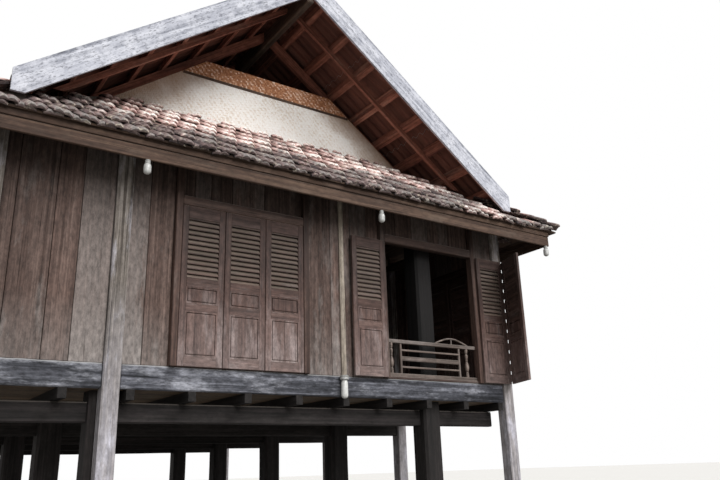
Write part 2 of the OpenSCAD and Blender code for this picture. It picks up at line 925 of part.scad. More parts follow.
// Woven mat in front of the frame, bounded by the slopes of the main roof
module gable_mats() {
    color("#cdb58e") mirror_y()
        along_y(-gable_y, -gable_y + mat_t,
                [for (p = [[-1, mat_z], [1, mat_z], [1, mat_top], [-1, mat_top]])
                 [p[0] * (main_under(0) - p[1]) / main_pitch, p[1]]]);
}

lamp_x = [-2000, 910, 3880];
tube_x = 570;
holder_d = 56;
holder_h = 40;
collar_d = 104;
collar_h = 50;

// Bulb with a domed end under its cap; the top of the cap is at z = 0
module lamp(d, l, cap_d, cap_h) {
    translate([0, 0, -cap_h]) {
        cylinder(h = cap_h, d = cap_d);
        rotate_extrude()
            polygon([[0, 0], [d * 0.3, 0], [d * 0.5, -l * 0.15], [d * 0.5, -l * 0.75],
                     [d * 0.4, -l * 0.92], [d * 0.2, -l], [0, -l]]);
    }
}

// Small lamps under the front fascia and a longer one on the rim beam
module lamps() {
    color("#e6e4dd") {
        for (x = lamp_x)
            translate([x, -fascia_front + fascia_t / 2, fascia_z])
                lamp(bulb_d, bulb_l, holder_d, holder_h);
        translate([tube_x, -hl - rim_out - collar_d / 2, wall_z])
            lamp(tube_d, tube_l, collar_d, collar_h);
    }
}

core_columns();
wall_posts();
cross_beams();
floor_joists();
floor_boards();
front_rim_beam();
back_rim_beam();
side_rim_beams();
front_wall_boards();
front_wall_over_windows();
back_wall_boards();
back_wall_over_windows();
left_wall_boards();
right_wall_boards();
side_walls_over_windows();
window_jambs();
window_heads();
window_sills();
front_closed_shutters();
front_open_shutters();
back_shutters();
side_shutters();
window_balustrade();
wall_battens();
side_wall_plates();
end_wall_plates();
core_plates();
tie_beams();
king_posts();
ridge_beam();
main_rafters();
main_purlins();
left_main_roof();
right_main_roof();
ridge_cap();
barge_boards();
skirt_rafters();
front_skirt_roof();
back_skirt_roof();
left_skirt_roof();
right_skirt_roof();
fascia_boards();
gable_studs();
gable_rails();
gable_mats();
lamps();
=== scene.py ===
"""Looks of a timber stilt house: weathered plank walls, louvred shutters, old clay tiles on the skirt
roofs, corrugated sheets on the main roof and woven mats in its gables.

Metres, +Z up, the front wall towards -Y, as in the CAD frame. Every new piece is worked out with numpy
as a whole array of points: boards and beams as chamfered boxes along their grain, tiles and sheets as
grids of two parameters, turned work as a radius along an axis.
"""
import math

import bpy
import numpy as np
from mathutils import Matrix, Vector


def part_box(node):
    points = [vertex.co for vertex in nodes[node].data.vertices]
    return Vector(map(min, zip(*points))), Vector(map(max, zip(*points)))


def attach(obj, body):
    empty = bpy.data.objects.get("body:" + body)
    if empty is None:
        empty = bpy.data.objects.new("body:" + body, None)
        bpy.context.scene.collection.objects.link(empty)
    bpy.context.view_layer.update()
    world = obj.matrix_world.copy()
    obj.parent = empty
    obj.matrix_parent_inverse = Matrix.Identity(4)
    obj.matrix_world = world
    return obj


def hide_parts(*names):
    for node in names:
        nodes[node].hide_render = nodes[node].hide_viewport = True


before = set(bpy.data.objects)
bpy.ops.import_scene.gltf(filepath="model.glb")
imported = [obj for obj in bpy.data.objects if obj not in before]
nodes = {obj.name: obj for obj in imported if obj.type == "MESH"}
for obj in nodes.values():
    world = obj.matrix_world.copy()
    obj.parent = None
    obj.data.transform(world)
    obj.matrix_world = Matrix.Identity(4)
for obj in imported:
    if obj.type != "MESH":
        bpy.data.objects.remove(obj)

scene = bpy.context.scene
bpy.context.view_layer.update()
rng = np.random.default_rng(41)

# Roof in the CAD frame, in metres. A pitch is rise over run, and a name that ends in V is a thickness
# measured upright.
RIDGE_Z = 7.6805
MAIN_PITCH = 0.745
MAIN_SLOPE = math.atan(MAIN_PITCH)
MAIN_X = 3.3
VERGE_Y = 4.99
BARGE_T = 0.03
BARGE_V = 0.33
SHEET_V = 0.06
EAVE_X = 4.05
EAVE_Y = 5.19
EAVE_Z = 4.8
FRONT_PITCH = 0.8
SIDE_PITCH = 0.48
TILE_V = 0.11
GABLE_Y = 3.89
SKIRT_IN = 3.12
MAT_JOINT_Z = 6.4
WALL_FOOT = 2.57

# Each timber takes its grain from a random part of the wood pattern, up to this many metres away
GRAIN_SPREAD = 40


# Meshes: a shape is its points, groups of polygons, the grain attribute and the tint attribute
def join(shapes):
    """One shape from several: their points in one array, their polygons shifted to match."""
    points, groups, grain, tint = zip(*shapes)
    starts = np.cumsum([0, *map(len, points)])
    polygons = [polygon + start for group, start in zip(groups, starts) for polygon in group]
    return np.concatenate(points), polygons, np.concatenate(grain), np.concatenate(tint)


def grid_quads(rows, cols, closed=False):
    """Quads of a grid whose points run along a row first; closed joins the last column to the first."""
    r, c = np.meshgrid(np.arange(rows - 1), np.arange(cols if closed else cols - 1), indexing="ij")
    n = (c + 1) % cols
    quads = np.stack([r * cols + c, r * cols + n, (r + 1) * cols + n, (r + 1) * cols + c], -1)
    return quads.reshape(-1, 4)


def tubes(rows, ring, count=1, turned_round=False):
    """Polygons of count closed tubes, whose points follow each other: the quads between the rows, each
    a ring of points, and one polygon at either end. turned_round is for rings that run clockwise."""
    stride = rows * ring
    faces = (grid_quads(rows, ring, True), np.arange(ring)[::-1][None],
             np.arange(stride - ring, stride)[None])
    starts = stride * np.arange(count)[:, None, None]
    return [(f[None, :, ::-1 if turned_round else 1] + starts).reshape(-1, f.shape[1]) for f in faces]


def piece(name, shape, material, slot, *replaced, smooth=None):
    """Makes a piece of a shape: its mesh with the grain and tint attributes, its material, and the CAD
    nodes it stands for. slot is not used. smooth is the angle in degrees above which an edge is sharp."""
    points, polygons, grain, tint = shape
    mesh = bpy.data.meshes.new(name)
    mesh.from_pydata(points, [], [face for group in polygons for face in group.tolist()])
    mesh.attributes.new("grain", "FLOAT_VECTOR", "POINT").data.foreach_set("vector", grain.ravel())
    mesh.attributes.new("tint", "FLOAT", "POINT").data.foreach_set("value", tint.ravel())
    if smooth is not None:
        mesh.shade_smooth()
        mesh.set_sharp_from_angle(angle=math.radians(smooth))
    mesh.materials.append(material)
    mesh.update()
    thing = bpy.data.objects.new(name, mesh)
    scene.collection.objects.link(thing)
    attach(thing, "root")
    if replaced:
        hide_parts(*replaced)


def solids(node):
    """Lowest and highest corners of each solid of a CAD node. Corners at one place are one corner, and
    each triangle hands the lowest number of its corners round until a solid's corners share one."""
    mesh = nodes[node].data
    mesh.calc_loop_triangles()
    places = np.round([v.co[:] for v in mesh.vertices], 4)
    places, index = np.unique(places, axis=0, return_inverse=True)
    triangles = np.take(index, [t.vertices[:] for t in mesh.loop_triangles])
    number = np.arange(len(places))
    while True:
        lower = number.copy()
        np.minimum.at(lower, triangles.ravel(), np.repeat(number[triangles].min(1), 3))
        if (lower == number).all():
            break
        number = lower
    group = np.unique(number, return_inverse=True)[1].ravel()
    low = np.full((group.max() + 1, 3), np.inf)
    high = -low
    np.minimum.at(low, group, places)
    np.maximum.at(high, group, places)
    return low, high


# Chamfered rectangle, anticlockwise: the signs of its half sides, and of the chamfer on each
SIDE_A = np.array([1, 1, 1, 1, -1, -1, -1, -1])
SIDE_B = np.array([-1, -1, 1, 1, 1, 1, -1, -1])
CUT_A = np.array([1, 0, 0, 1, -1, 0, 0, -1])
CUT_B = np.array([0, -1, 1, 0, 0, 1, -1, 0])


def timbers(low, high, edge, wave=0.0, stations=2, axis=None):
    """Lengths of timber that fill the boxes from low to high: a rectangle whose edges are cut off by
    edge, or by a fifth of its thickness if that is less, carried along the longest side, or along
    axis, and smaller by the same cut at both ends. Each face may stray inwards by up to wave between
    stations, as on hewn wood. The grain attribute is the place in the timber, across, through and
    along, moved to a random part of the wood pattern, and the tint is one random number a timber."""
    low, high = np.atleast_2d(low), np.atleast_2d(high)
    count = len(low)
    size = high - low
    long = size.argmax(1) if axis is None else np.full(count, axis)
    order = (long[:, None] + np.array([1, 2, 0])) % 3
    a, b, length = np.take_along_axis(size, order, 1).T
    cut = np.minimum(edge, 0.2 * np.minimum(a, b))
    inner = np.linspace(0, 1, stations)
    along = np.concatenate([[0], inner, [1]])[None] * (length - 2 * cut)[:, None] + cut[:, None]
    along[:, 0] = 0
    along[:, -1] = length
    rows = stations + 2
    stray = wave * rng.random((count, rows, 4))
    stray[:, 0] = stray[:, 1] + cut[:, None]
    stray[:, -1] = stray[:, -2] + cut[:, None]
    shift_a = np.where(SIDE_A > 0, stray[..., :1], stray[..., 1:2])
    shift_b = np.where(SIDE_B > 0, stray[..., 2:3], stray[..., 3:])
    pa = SIDE_A * (a[:, None, None] / 2 - shift_a) - CUT_A * cut[:, None, None]
    pb = SIDE_B * (b[:, None, None] / 2 - shift_b) - CUT_B * cut[:, None, None]
    pl = np.broadcast_to((along - length[:, None] / 2)[:, :, None], pa.shape)
    local = np.stack([pa, pb, pl], -1)
    back = np.argsort(order, 1)
    placed = np.take_along_axis(local, np.broadcast_to(back[:, None, None], local.shape), -1)
    points = (placed + ((low + high) / 2)[:, None, None]).reshape(-1, 3)
    grain = (local + rng.uniform(0, GRAIN_SPREAD, (count, 1, 1, 3))).reshape(-1, 3)
    return points, tubes(rows, 8, count), grain, np.repeat(rng.random(count), rows * 8)


def planks(low, high, axis, widths=(0.12, 0.46), gap=0.006):
    """Splits each box across axis into planks of random widths, with a gap between neighbours.
    Widths are drawn, summed and scaled to the width of the box."""
    lows, highs = [], []
    for lo, hi in zip(low, high):
        wide = hi[axis] - lo[axis]
        count = max(1, round(wide / np.mean(widths)))
        edges = np.concatenate([[0], np.cumsum(rng.uniform(*widths, count))])
        edges = lo[axis] + edges / edges[-1] * wide
        a, b = np.tile(lo, (count, 1)), np.tile(hi, (count, 1))
        a[:, axis], b[:, axis] = edges[:-1] + gap / 2, edges[1:] - gap / 2
        lows.append(a)
        highs.append(b)
    return np.concatenate(lows), np.concatenate(highs)


def turned(profile, places, sides=16):
    """Turned pieces: radius and height along the profile, swept round an upright axis at each place.
    The first and last rings close the ends. The grain runs along the axis."""
    radius, height = np.array(profile, float).T
    angle = np.arange(sides) * 2 * np.pi / sides
    ring = np.stack([radius[:, None] * np.cos(angle), radius[:, None] * np.sin(angle),
                     np.repeat(height[:, None], sides, 1)], -1)
    points = (ring + np.array(places)[:, None, None]).reshape(-1, 3)
    count, stride = len(places), len(radius) * sides
    moved = np.repeat(rng.uniform(0, GRAIN_SPREAD, (count, 3)), stride, 0)
    grain = np.tile(ring.reshape(-1, 3), (count, 1)) + moved
    return points, tubes(len(radius), sides, count), grain, np.repeat(rng.random(count), stride)


# Materials
def linear(code):
    """Linear colour with alpha from an sRGB hex value."""
    value = np.array([int(code[i:i + 2], 16) for i in (1, 3, 5)]) / 255
    value = np.where(value <= 0.04045, value / 12.92, ((value + 0.055) / 1.055) ** 2.4)
    return (*value.tolist(), 1.0)


def adder(tree):
    """The function that adds one node to this tree: its settings, what goes into its sockets, and the
    stops of its colour ramp. What goes in, in the order of the sockets or under their names, is a
    value, an output of another node, or another node, whose first output is meant."""
    def add(kind, inputs=(), stops=(), **settings):
        node = tree.nodes.new("ShaderNode" + kind)
        for key, value in settings.items():
            setattr(node, key, value)
        for key, value in inputs.items() if isinstance(inputs, dict) else enumerate(inputs):
            if isinstance(value, bpy.types.Node):
                value = value.outputs[0]
            if isinstance(value, bpy.types.NodeSocket):
                tree.links.new(value, node.inputs[key])
            else:
                node.inputs[key].default_value = value
        if stops:
            elements = node.color_ramp.elements
            while len(elements) < len(stops):
                elements.new(0.5)
            for element, (place, code) in zip(elements, stops):
                element.position = place
                element.color = linear(code)
        return node
    return add


def new_material(name, rough, gloss=0.3):
    """A material with this roughness and specular level, and the function that adds nodes to it."""
    material = bpy.data.materials.new(name)
    material.use_nodes = True
    shader = material.node_tree.nodes["Principled BSDF"]
    shader.inputs["Roughness"].default_value = rough
    shader.inputs["Specular IOR Level"].default_value = gloss
    return material, adder(material.node_tree)


def finished(material, add, colour, height=None, strength=0.5, depth=0.005):
    """The material, once its shader has this colour and as bump this height, depth metres deep."""
    links, shader = material.node_tree.links, material.node_tree.nodes["Principled BSDF"]
    links.new(colour.outputs[0], shader.inputs["Base Color"])
    if height is not None:
        bump = add("Bump", {"Height": height, "Strength": strength, "Distance": depth})
        links.new(bump.outputs[0], shader.inputs["Normal"])
    return material


# Turns that bring the length of a CAD node's timbers to the third axis of the wood pattern
ALONG_Y = (math.radians(90), 0, 0)
DOWN_SLOPE = (0, -math.radians(90) - MAIN_SLOPE, 0)


def wood(name, dark, body, pale, silver, weather=0.5, rough=0.8, streak=0.05, turn=None, foot=None,
         eaves=None, dust="#8f8780", tones=(0.74, 1.2), shades=0.25, mottle=0.3):
    """Old hardwood in the open air: long fibres from noise drawn out along the grain, open checks,
    boards of different tone, a silver skin of weathering in patches, and dust on what faces up.
    dark, body and pale are the fibres, silver is the weathered skin, weather how much there is of it,
    and streak the broadest band of fibres in metres. turn is one of the turns above for a CAD node,
    and None for pieces with the grain attribute. Between the heights of foot rain splash makes the
    wood paler; between those of eaves painted shade of the eaves leaves a share of its light and
    silver. tones are the darkest and palest board, shades how much their silver differs, mottle how
    strong mould is."""
    material, add = new_material(name, rough)
    place = add("TexCoord").outputs["Object"]
    if turn is None:
        grain = add("Attribute", attribute_name="grain").outputs["Vector"]
        tint = add("Attribute", attribute_name="tint").outputs["Fac"]
    else:
        both = add("VectorMath", [place], operation="ABSOLUTE") if turn == DOWN_SLOPE else place
        grain = add("Mapping", {"Vector": both, "Rotation": turn})
        # Cells of 0.38 m across the grain and 6.7 m along it, each a timber with its own tone
        cells = add("Mapping", {"Vector": grain, "Scale": (2.6, 2.6, 0.15)})
        tint = add("TexWhiteNoise", [add("VectorMath", [cells], operation="FLOOR")])
    # Fibre bands 2 m long, weathered patches of 140 by 600 mm, checks 0.9 m long, drawn 14 mm wide
    # where real ones are 2, so that they show, and mould blotches of 40 by 90 mm
    fibre, patch, checks, blotch = (
        add("TexNoise", {"Vector": add("Mapping", {"Vector": grain, "Scale": scale}), "Scale": 1,
                         "Detail": detail, "Roughness": ragged, "Distortion": bend})
        for scale, detail, ragged, bend in (
            ((1 / streak, 1 / streak, 0.5), 7, 0.7, 0.15), ((7, 7, 1.6), 6, 0.68, 0),
            ((70, 70, 1.1), 2, 0.5, 0), ((26, 26, 11), 5, 0.75, 0)))
    colour = add("ValToRGB", [fibre], [(0.34, dark), (0.50, body), (0.66, pale)])
    toned = add("MixRGB", [1, colour, add("MapRange", [tint, 0, 1, *tones])], blend_type="MULTIPLY")
    # Seven times the tint, less its whole part: a second random number for how silver a timber is
    apart = add("Math", [add("Math", [tint, 7], operation="MULTIPLY")], operation="FRACT")
    extra = add("MapRange", [apart, 0, 1, -0.5 * shades, 0.5 * shades])
    bare = add("Math", [patch, extra], operation="ADD")
    # The more weathered, the more of the noise lies above the level where the silver skin starts
    start, full = 0.62 - 0.35 * weather, 0.80 - 0.35 * weather
    skin = add("MapRange", [bare, start, full, 0, min(1, 0.25 + weather)])
    height = add("SeparateXYZ", [place]).outputs["Z"]
    if foot:
        splash = add("MapRange", [height, foot[1], foot[0], 0, 0.8])
        ragged = add("Math", [splash, patch], operation="MULTIPLY")
        skin = add("Math", [skin, ragged], operation="ADD", use_clamp=True)
    # Painted shade of the eaves: less light and less silver skin between the heights of eaves
    if eaves:
        eaves_shade = add("MapRange", [height, eaves[0], eaves[1], 1, eaves[2]])
        skin = add("Math", [skin, eaves_shade], operation="MULTIPLY")
    aged = add("MixRGB", [skin, toned, linear(silver)])
    if eaves:
        aged = add("MixRGB", [1, aged, eaves_shade], blend_type="MULTIPLY")
    blotches = add("MapRange", [blotch, 0.34, 0.66, 1 - mottle, 1 + mottle])
    aged = add("MixRGB", [1, aged, blotches], blend_type="MULTIPLY")
    facing = add("SeparateXYZ", [add("NewGeometry").outputs["Normal"]]).outputs["Z"]
    dusty = add("MixRGB", [add("MapRange", [facing, 0.3, 0.8, 0, 0.6]), aged, linear(dust)])
    crack = add("MapRange", [checks, 0.27, 0.35, 0.7, 0])
    cracked = add("MixRGB", [crack, dusty, linear(dark)], blend_type="MULTIPLY")
    relief = add("Math", [fibre, crack], operation="SUBTRACT")
    return finished(material, add, cracked, relief, depth=0.006)


# Hardwood planks gone brown-grey outdoors: matt, streaked, paler at the foot where rain splashes,
# and darker under the eaves with painted shade
wall_wood = wood("weathered_hardwood_planks", "#3f302a", "#5b4942", "#746159", "#87807c", 0.28,
                 streak=0.03, foot=(WALL_FOOT, 3.2), eaves=(3.6, 4.6, 0.62), shades=0.8, mottle=0.4)
# Sawn and planed hardwood shutters, redder than the wall, worn to grey at the foot, and darker
# upwards with painted shade of the eaves
shutter_wood = wood("joinery_hardwood_worn", "#3f2d27", "#5c453e", "#755d55", "#90827f", 0.3,
                    rough=0.68, streak=0.045, foot=(WALL_FOOT, 3.4), eaves=(3.1, 3.8, 0.46),
                    tones=(0.80, 1.30), dust="#8c8374", shades=0.1, mottle=0.4)
# Window frames: the same joinery wood, with painted shade under the eaves
frame_joinery = wood("joinery_hardwood_dark", "#2e211c", "#4d3a33", "#68534a", "#776b65", 0.2,
                     rough=0.7, eaves=(3.4, 4.4, 0.62))
# Pale stud of younger wood beside the open window
stud_wood = wood("pale_stud_hardwood", "#6d6459", "#9c9184", "#b3a99c", "#aaa299", 0.3)
# Exposed hewn beams: silver-grey skin with long open checks
silver_wood = wood("silvered_hewn_hardwood", "#1e1f23", "#414248", "#6f7078", "#adaeb6", 0.4,
                   rough=0.85, streak=0.045, dust="#a5a4a2", shades=0.1, mottle=0.55)
# Posts in the rain: brown-grey above the floor, paler silver below it
post_wood = wood("silvered_post_hardwood", "#3c3530", "#787069", "#9e9691", "#c0bec7", 0.3,
                 rough=0.85, streak=0.03, foot=(2.0, 3.4), shades=0.1)
# Hardwood under the house and in its core, and the floor joists: dark dusty wood made near black
# by painted shade; the hardwood is darker still from the floor line up, with more painted shade
under_wood = wood("dark_hardwood_in_painted_shade", "#131110", "#262221", "#383232", "#423e3c", 0.15,
                  eaves=(2.2, 2.6, 0.3))
joist_wood = wood("dark_joists_in_painted_shade", "#0f0d0c", "#1d1a19", "#2a2625", "#322e2d", 0.15,
                  turn=ALONG_Y)
# Floor boards, worn smooth
floor_wood = wood("worn_floor_hardwood", "#3a2f25", "#5f4f40", "#786552", "#7f7363", 0.15, rough=0.6)
# Eaves boards: warm brown, sheltered by the tiles
fascia_wood = wood("sheltered_brown_boards", "#2f221c", "#4f3d33", "#685446", "#706459", 0.15)
# Smoke-brown frame timber inside
frame_wood = wood("inside_frame_hardwood", "#221a15", "#463930", "#5f4f43", "#6a5f55", 0.15)
# Rust-brown purlins and rafters of the main roof, and the duller ones of the skirt roofs
rust_brown = ("#50302a", "#96604f", "#b47c68", "#a58777", 0.2)
purlin_wood = wood("rust_brown_purlins", *rust_brown, turn=ALONG_Y)
rafter_wood = wood("rust_brown_rafters", *rust_brown, turn=DOWN_SLOPE)
spar_wood = wood("sheltered_skirt_rafters", "#2c2019", "#584439", "#6e584b", "#796d63", 0.2,
                 turn=ALONG_Y)
# Close boarding under the tiles, dark with age
close_boards = wood("dark_close_boards", "#2c211b", "#4f3e34", "#655145", "#6d6157", 0.15)
# Balustrade: turned and planed wood, rubbed pale by hands
rail_wood = wood("rubbed_balustrade_hardwood", "#40362f", "#6c5f58", "#897b73", "#8d8581", 0.3,
                 rough=0.55, streak=0.03)


def bleached_boards():
    """Verge boards bleached blue-grey: long streaks down the slope, pale salt bloom in broad patches
    and fine dark specks of mould."""
    material, add = new_material("bleached_verge_boards", 0.88)
    both = add("VectorMath", [add("TexCoord").outputs["Object"]], operation="ABSOLUTE")
    grain = add("Mapping", {"Vector": both, "Rotation": DOWN_SLOPE})
    # Streaks 40 mm wide, bloom 300 mm wide, and specks of 14 by 45 mm, coarser than the real 3 mm so
    # that they show
    fibre, patch, specks = (
        add("TexNoise", {"Vector": add("Mapping", {"Vector": grain, "Scale": scale}), "Scale": 1,
                         "Detail": detail, "Roughness": ragged})
        for scale, detail, ragged in (((24, 24, 0.8), 6, 0.6), ((3.4, 3.4, 3.4), 6, 0.72),
                                      ((70, 70, 22), 3, 0.7)))
    colour = add("ValToRGB", [fibre], [(0.34, "#7b7e88"), (0.50, "#aeb0ba"), (0.66, "#d0d2da")])
    pale = add("MixRGB", [add("MapRange", [patch, 0.45, 0.66, 0, 0.75]), colour, linear("#e2e3ea")])
    final = add("MixRGB", [add("MapRange", [specks, 0.53, 0.64, 0, 0.7]), pale, linear("#5d5e66")])
    return finished(material, add, final, fibre)


def clay():
    """Hand-made clay tiles: each tile its own tone of grey-brown, pink or cream, lichen in spots and
    grey-black mould in broad patches, heavier towards the eaves."""
    material, add = new_material("old_hand_made_clay", 0.92)
    tint = add("Attribute", attribute_name="tint").outputs["Fac"]
    place = add("TexCoord").outputs["Object"]
    tone = add("ValToRGB", [tint], [(0.0, "#40312e"), (0.22, "#a07d76"), (0.48, "#d3b1aa"),
                                    (0.75, "#f0d9d2"), (1.0, "#fff6ee")])
    # Grit of 28 mm, which is drawn coarse so that it shows, mould 0.8 m and lichen 60 mm across
    grit, patch, spots = (
        add("TexNoise", {"Vector": place, "Scale": scale, "Detail": detail, "Roughness": ragged})
        for scale, detail, ragged in ((36, 4, 0.6), (1.3, 5, 0.65), (17, 4, 0.7)))
    height = add("SeparateXYZ", [place]).outputs["Z"]
    low = add("MapRange", [height, EAVE_Z + 0.7, EAVE_Z, 0, 0.22])
    mould = add("MapRange", [add("Math", [patch, low], operation="ADD"), 0.56, 0.68, 0, 0.8])
    dark = add("MixRGB", [mould, tone, linear("#4a4445")])
    light = add("MixRGB", [add("MapRange", [spots, 0.54, 0.66, 0, 0.5]), dark, linear("#cfc4b0")])
    fine = add("MapRange", [grit, 0.3, 0.7, 0.55, 1.4])
    final = add("MixRGB", [1, light, fine], blend_type="MULTIPLY")
    return finished(material, add, final, grit, depth=0.004)


def fibre_cement():
    """Old fibre-cement roof sheets: pale grey and matt, with dark streaks down the slope. The underside
    is painted rust-brown: painted shade tinted by warm light reflected from the tiles."""
    material, add = new_material("weathered_fibre_cement", 0.92)
    place = add("TexCoord").outputs["Object"]
    # Streaks 110 mm wide, and grit of 11 mm, coarser than the real one so that it shows
    streaks = add("TexNoise", {"Vector": add("Mapping", {"Vector": place, "Scale": (0.6, 9, 0.6)}),
                               "Scale": 1, "Detail": 5, "Roughness": 0.65})
    grit = add("TexNoise", {"Vector": place, "Scale": 90, "Detail": 3})
    colour = add("ValToRGB", [streaks], [(0.30, "#5f5e5b"), (0.48, "#8f8e8a"), (0.70, "#b3b2ae")])
    # Underside colour: painted shade with a painted warm reflection from the tiles
    underside_shade_and_glow = add("ValToRGB", [streaks], [(0.30, "#4a302a"), (0.70, "#84584a")])
    facing = add("SeparateXYZ", [add("NewGeometry").outputs["Normal"]]).outputs["Z"]
    final = add("MixRGB", [add("Math", [facing, 0], operation="LESS_THAN"), colour, underside_shade_and_glow])
    return finished(material, add, final, grit, 0.4, 0.002)


def bamboo_mat():
    """Woven bamboo mat: flat strips two over and two under, so that the weave steps in slanting
    lines. The lower mat is pale straw, with painted shade of the barge boards that makes it browner
    towards the roof, and the one above orange-brown. Each strip is painted darker towards its edges,
    as shade between the strips."""
    material, add = new_material("woven_bamboo_strips", 0.62)
    place = add("TexCoord").outputs["Object"]
    parts = add("SeparateXYZ", [place])
    # Width of a strip in metres, drawn wider than the real 12 mm so that the weave shows
    strip = 0.019
    column, row = (add("Math", [parts.outputs[axis], strip], operation="DIVIDE") for axis in "XZ")
    c_floor, r_floor = (add("Math", [line], operation="FLOOR") for line in (column, row))
    c_part, r_part = (add("Math", [line], operation="FRACT") for line in (column, row))
    steps = add("Math", [c_floor, r_floor], operation="ADD")
    in_four = add("Math", [steps, 4], operation="FLOORED_MODULO")
    over = add("Math", [in_four, 1.5], operation="LESS_THAN")
    side = add("Mix", {0: over, 2: r_part, 3: c_part})
    off_mid = add("Math", [add("Math", [side, 0.5], operation="SUBTRACT")], operation="ABSOLUTE")
    crown = add("MapRange", [off_mid, 0.5, 0.25])
    lot = add("TexWhiteNoise", [add("CombineXYZ", [c_floor, r_floor])])
    each = add("Mix", {0: 0.3, 2: lot, 3: over})
    # Stains 0.4 m across
    patch = add("TexNoise", {"Vector": place, "Scale": 2.4, "Detail": 5, "Roughness": 0.65})
    age = add("Math", [each, patch], operation="MULTIPLY")
    straw = add("ValToRGB", [age], [(0.0, "#fdfbf7"), (0.30, "#f6f1ea"), (0.50, "#e4d8ca")])
    amber = add("ValToRGB", [age], [(0.04, "#ecd0bb"), (0.17, "#c8906a"), (0.42, "#9c6543")])
    # Distance, level, from the lower edges of the barge boards
    low_edge = RIDGE_Z - BARGE_V
    reach = add("MapRange", [parts.outputs["Z"], low_edge, low_edge - MAIN_PITCH], clamp=False)
    across = add("Math", [parts.outputs["X"]], operation="ABSOLUTE")
    edge_in = add("Math", [reach, across], operation="SUBTRACT")
    edge_on = add("Math", [edge_in, patch], operation="SUBTRACT")
    # Painted shade of the barge boards: the straw goes browner and darker near the roof's edge
    verge_shade = add("MapRange", [edge_on, 0.15, -0.45, 0, 0.85])
    lower = add("MixRGB", [verge_shade, straw, linear("#a98b72")])
    upper = add("Math", [parts.outputs["Z"], MAT_JOINT_Z], operation="GREATER_THAN")
    mats = add("MixRGB", [upper, lower, amber])
    # Each strip is painted darker towards its edges: painted shade between the strips
    final = add("MixRGB", [1, mats, add("MapRange", [crown, 0, 1, 0.78, 1])], blend_type="MULTIPLY")
    return finished(material, add, final, crown, 0.6)


def lamp_glass():
    """Opal glass over a grey moulded cap, dusty in clouds of 25 mm: tint 0 is the cap, 1 the glass."""
    material, add = new_material("opal_glass_and_cap", 0.3, 0.5)
    dust = add("TexNoise", {"Vector": add("TexCoord").outputs["Object"], "Scale": 40})
    glass = add("ValToRGB", [dust], [(0.3, "#bdbdba"), (0.7, "#dcdcd9")])
    cap = add("ValToRGB", [dust], [(0.3, "#8b8b89"), (0.7, "#a9a9a6")])
    tint = add("Attribute", attribute_name="tint").outputs["Fac"]
    return finished(material, add, add("MixRGB", [tint, cap, glass]))


barge_wood = bleached_boards()
tile_clay = clay()
sheet_grey = fibre_cement()
mat_bamboo = bamboo_mat()
lamp_white = lamp_glass()

# Timber frame: the box-shaped solids of a node become chamfered timbers of the same size. Each node
# stands with its edge, wave and stations.
for finish, slot, frame_nodes in (
        (under_wood, "core_wood", [("core_columns", 0.03, 0.006, 12)]),
        (post_wood, "post_wood", [("wall_posts", 0.012, 0.004, 14)]),
        (under_wood, "under_wood", [("cross_beams", 0.012, 0.004, 14)]),
        (silver_wood, "rim_wood", [
            ("front_rim_beam", 0.012, 0.004, 16), ("back_rim_beam", 0.012, 0.004, 16),
            ("side_rim_beams", 0.012, 0.004, 8)]),
        (frame_joinery, "window_wood", [
            ("window_jambs", 0.005), ("window_heads", 0.008), ("window_sills", 0.005)]),
        (stud_wood, "batten_wood", [("wall_battens", 0.006)]),
        (frame_wood, "frame_timber", [
            ("side_wall_plates", 0.01, 0.003, 14), ("end_wall_plates", 0.01, 0.003, 12),
            ("core_plates", 0.015, 0.004, 14), ("tie_beams", 0.015, 0.004, 12),
            ("king_posts", 0.015, 0.003, 6)]),
        (frame_wood, "roof_timber", [
            ("ridge_beam", 0.012, 0.003, 14), ("gable_studs", 0.008, 0.002, 5)]),
        (fascia_wood, "roof_timber", [("gable_rails", 0.006, 0.002, 10)])):
    for name, *how in frame_nodes:
        piece(name + "_timber", timbers(*solids(name), *how), finish, slot, name)

# Walls of upright planks, side by side along the first axis or the second, and floor boards
for name, axis in (("front_wall_boards", 0), ("front_wall_over_windows", 0), ("back_wall_boards", 0),
                   ("back_wall_over_windows", 0), ("left_wall_boards", 1), ("right_wall_boards", 1),
                   ("side_walls_over_windows", 1)):
    piece(name + "_planks", timbers(*planks(*solids(name), axis), edge=0.004, axis=2), wall_wood,
          "wall_wood", name)
piece("floor_planks", timbers(*planks(*solids("floor_boards"), 1, (0.16, 0.26)), edge=0.003, axis=0),
      floor_wood, "floor_wood", "floor_boards")

# Eaves boards: where the upper board starts, as a share, and how far the lower one stands back
FASCIA_JOINT = 0.58
FASCIA_STEP = 0.016


def stepped_fascia():
    """Eaves boards in two steps: each CAD board becomes an upper board at its full thickness and a
    lower, broader one whose outer face stands back."""
    low, high = solids("fascia_boards")
    joint = low[:, 2] + FASCIA_JOINT * (high - low)[:, 2]
    thin = (high - low)[:, :2].argmin(1)
    each = np.arange(len(low))
    outward = low[each, thin] > 0
    upper_low, lower_low, lower_high = low.copy(), low.copy(), high.copy()
    upper_low[:, 2] = lower_high[:, 2] = joint
    lower_high[each, thin] -= np.where(outward, FASCIA_STEP, 0)
    lower_low[each, thin] += np.where(outward, 0, FASCIA_STEP)
    shape = timbers(np.concatenate([upper_low, lower_low]), np.concatenate([high, lower_high]),
                    edge=0.005, wave=0.002, stations=14)
    piece("fascia_boards_stepped", shape, fascia_wood, "fascia_wood", "fascia_boards")


stepped_fascia()

# CAD nodes whose shape stays
for name, finish in (("main_purlins", purlin_wood), ("main_rafters", rafter_wood),
                     ("skirt_rafters", spar_wood), ("barge_boards", barge_wood),
                     ("floor_joists", joist_wood), ("gable_mats", mat_bamboo),
                     ("ridge_cap", sheet_grey)):
    for material_slot in nodes[name].material_slots:
        material_slot.material = finish

